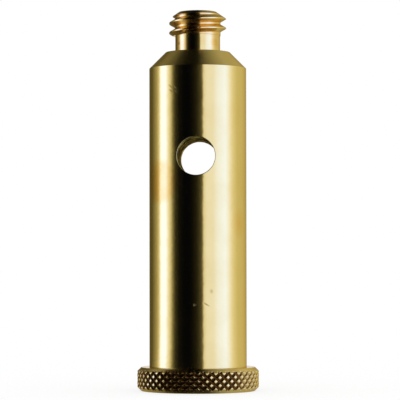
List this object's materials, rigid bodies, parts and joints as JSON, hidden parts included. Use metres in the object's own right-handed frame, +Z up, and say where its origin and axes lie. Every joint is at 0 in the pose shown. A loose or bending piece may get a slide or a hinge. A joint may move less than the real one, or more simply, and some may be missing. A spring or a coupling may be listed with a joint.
{
  "type": "tripod thread adapter",
  "caption": "Turned brass spigot with a knurled foot flange, a cross hole through its plain shank, a screw stud on top and a tapped socket underneath",
  "frame": {"origin": "centre of the foot, on the flange's flat underside", "axes": "+Z up the spigot towards the stud, Y along the cross hole, X across it"},
  "size_m": [0.02, 0.02, 0.0624],
  "materials": {
    "brass": "bright turned brass with fine lathe marks"
  },
  "bodies": {
    "root": {"adapter": "brass"}
  },
  "joints": []
}
